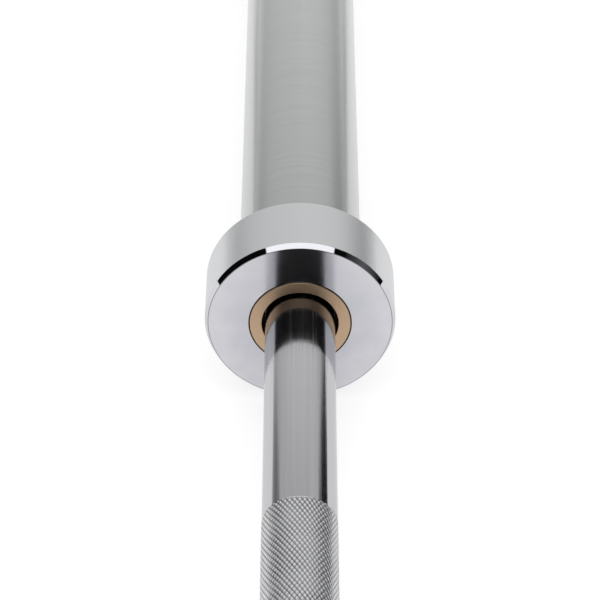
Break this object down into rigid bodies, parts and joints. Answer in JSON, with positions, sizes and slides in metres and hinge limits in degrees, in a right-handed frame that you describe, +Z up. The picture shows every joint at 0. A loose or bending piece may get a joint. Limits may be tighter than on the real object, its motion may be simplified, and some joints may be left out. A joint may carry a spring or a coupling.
{
  "type": "olympic barbell",
  "caption": "Long chromed steel bar with a knurled grip between two collars; the thick sleeves that hold weight plates spin on bronze bushings at its ends.",
  "frame": {"origin": "on the bar's axis, half way along it", "axes": "+X along the bar towards its right end, +Y across it, +Z up"},
  "size_m": [2.2, 0.0764, 0.0764],
  "materials": {
    "shaft_chrome": "hard chrome on ground steel, knurled bands",
    "turned_chrome": "chrome over fine turning marks",
    "polished_chrome": "smooth chrome",
    "bronze": "turned bearing bronze",
    "washer_steel": "ground hardened steel",
    "spring_steel": "blackened spring steel",
    "rubber": "smooth nitrile"
  },
  "bodies": {
    "shaft": {"shaft": "shaft_chrome", "left_inner_thrust_washer": "washer_steel", "left_outer_thrust_washer": "washer_steel", "left_shaft_snap_ring": "spring_steel", "right_inner_thrust_washer": "washer_steel", "right_outer_thrust_washer": "washer_steel", "right_shaft_snap_ring": "spring_steel"},
    "left_sleeve": {"left_sleeve_tube": "turned_chrome", "left_collar": "polished_chrome", "left_inner_bushing": "bronze", "left_outer_bushing": "bronze", "left_end_cap": "polished_chrome", "left_end_cap_seal": "rubber", "left_end_cap_snap_ring": "spring_steel"},
    "right_sleeve": {"right_sleeve_tube": "turned_chrome", "right_collar": "polished_chrome", "right_inner_bushing": "bronze", "right_outer_bushing": "bronze", "right_end_cap": "polished_chrome", "right_end_cap_seal": "rubber", "right_end_cap_snap_ring": "spring_steel"}
  },
  "joints": [
    {"name": "left_sleeve_spin", "type": "hinge", "parent": "shaft", "child": "left_sleeve", "pos_m": [-0.655, 0, 0], "axis": [1, 0, 0], "continuous": true},
    {"name": "right_sleeve_spin", "type": "hinge", "parent": "shaft", "child": "right_sleeve", "pos_m": [0.655, 0, 0], "axis": [1, 0, 0], "continuous": true}
  ]
}
